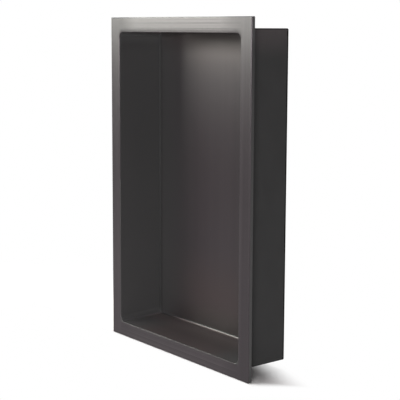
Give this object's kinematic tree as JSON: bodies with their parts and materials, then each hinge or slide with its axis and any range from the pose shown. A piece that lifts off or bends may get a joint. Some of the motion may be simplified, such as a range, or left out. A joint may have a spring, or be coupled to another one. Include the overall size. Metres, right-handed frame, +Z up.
{
  "type": "shower niche insert",
  "caption": "Gunmetal steel shower niche insert: a flat frame with a folded edge round a tall rounded recess with a sloping floor, in a shallow casing that goes into a wall.",
  "frame": {"origin": "centre of the front frame on the wall plane, where the frame's folded edge meets the tiles", "axes": "+X right seen from the room, +Y into the wall, +Z up"},
  "size_m": [0.3, 0.073, 0.45],
  "materials": {
    "gunmetal_steel": "fine brushed gunmetal, satin"
  },
  "bodies": {
    "root": {"niche_insert": "gunmetal_steel"}
  },
  "joints": []
}
